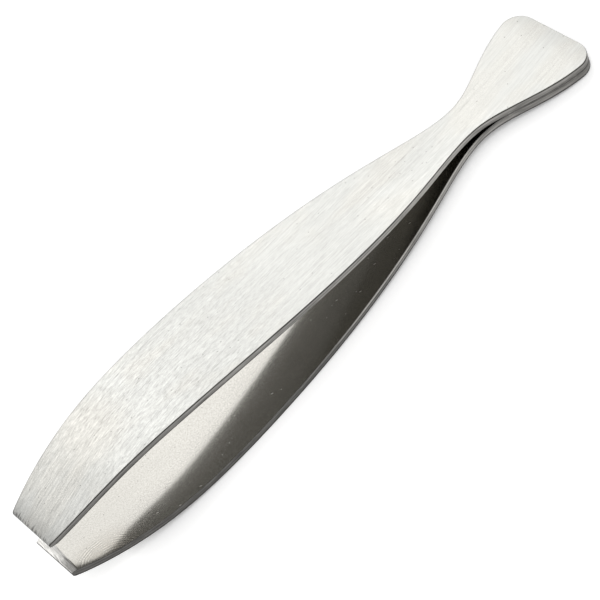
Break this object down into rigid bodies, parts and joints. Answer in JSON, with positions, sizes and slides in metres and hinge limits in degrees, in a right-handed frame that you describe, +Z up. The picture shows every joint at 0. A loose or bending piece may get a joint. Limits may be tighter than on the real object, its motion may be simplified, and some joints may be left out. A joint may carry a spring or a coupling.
{
  "type": "fish bone tongs",
  "caption": "Small fish-shaped steel tongs: bowed leaves welded at the tail, sprung at the neck, with flat-ground tips.",
  "frame": {"origin": "on the plane that the tongs lie on, under the middle of their bounding box", "axes": "+X from the tail to the mouth, +Y across the leaves, +Z up from the table; the tongs lie on the lower leaf's body and tail"},
  "size_m": [0.1, 0.0152, 0.0162],
  "materials": {
    "brushed_steel": "brushed along the leaf outside, fine satin inside, bare sheared edges",
    "weld_metal": "dull weld metal, hidden in the seam"
  },
  "bodies": {
    "tail": {"upper_leaf_tail": "brushed_steel", "lower_leaf_tail": "brushed_steel", "spot_weld_left": "weld_metal", "spot_weld_right": "weld_metal", "spot_weld_centre": "weld_metal"},
    "upper_arm": {"upper_leaf_arm": "brushed_steel"},
    "lower_arm": {"lower_leaf_arm": "brushed_steel"}
  },
  "joints": [
    {"name": "upper_neck_bend", "type": "hinge", "parent": "tail", "child": "upper_arm", "pos_m": [-0.03044, 0, 0.00384], "axis": [0, 1, 0], "range_deg": [0, 2.46], "stiffness_Nm_per_rad": 4},
    {"name": "lower_neck_bend", "type": "hinge", "parent": "tail", "child": "lower_arm", "pos_m": [-0.03026, 0, 0.00189], "axis": [0, -1, 0], "range_deg": [0, 2.46], "stiffness_Nm_per_rad": 4}
  ],
  "couplings": [
    {"joint": "lower_neck_bend", "follows": "upper_neck_bend", "ratio": 1}
  ]
}
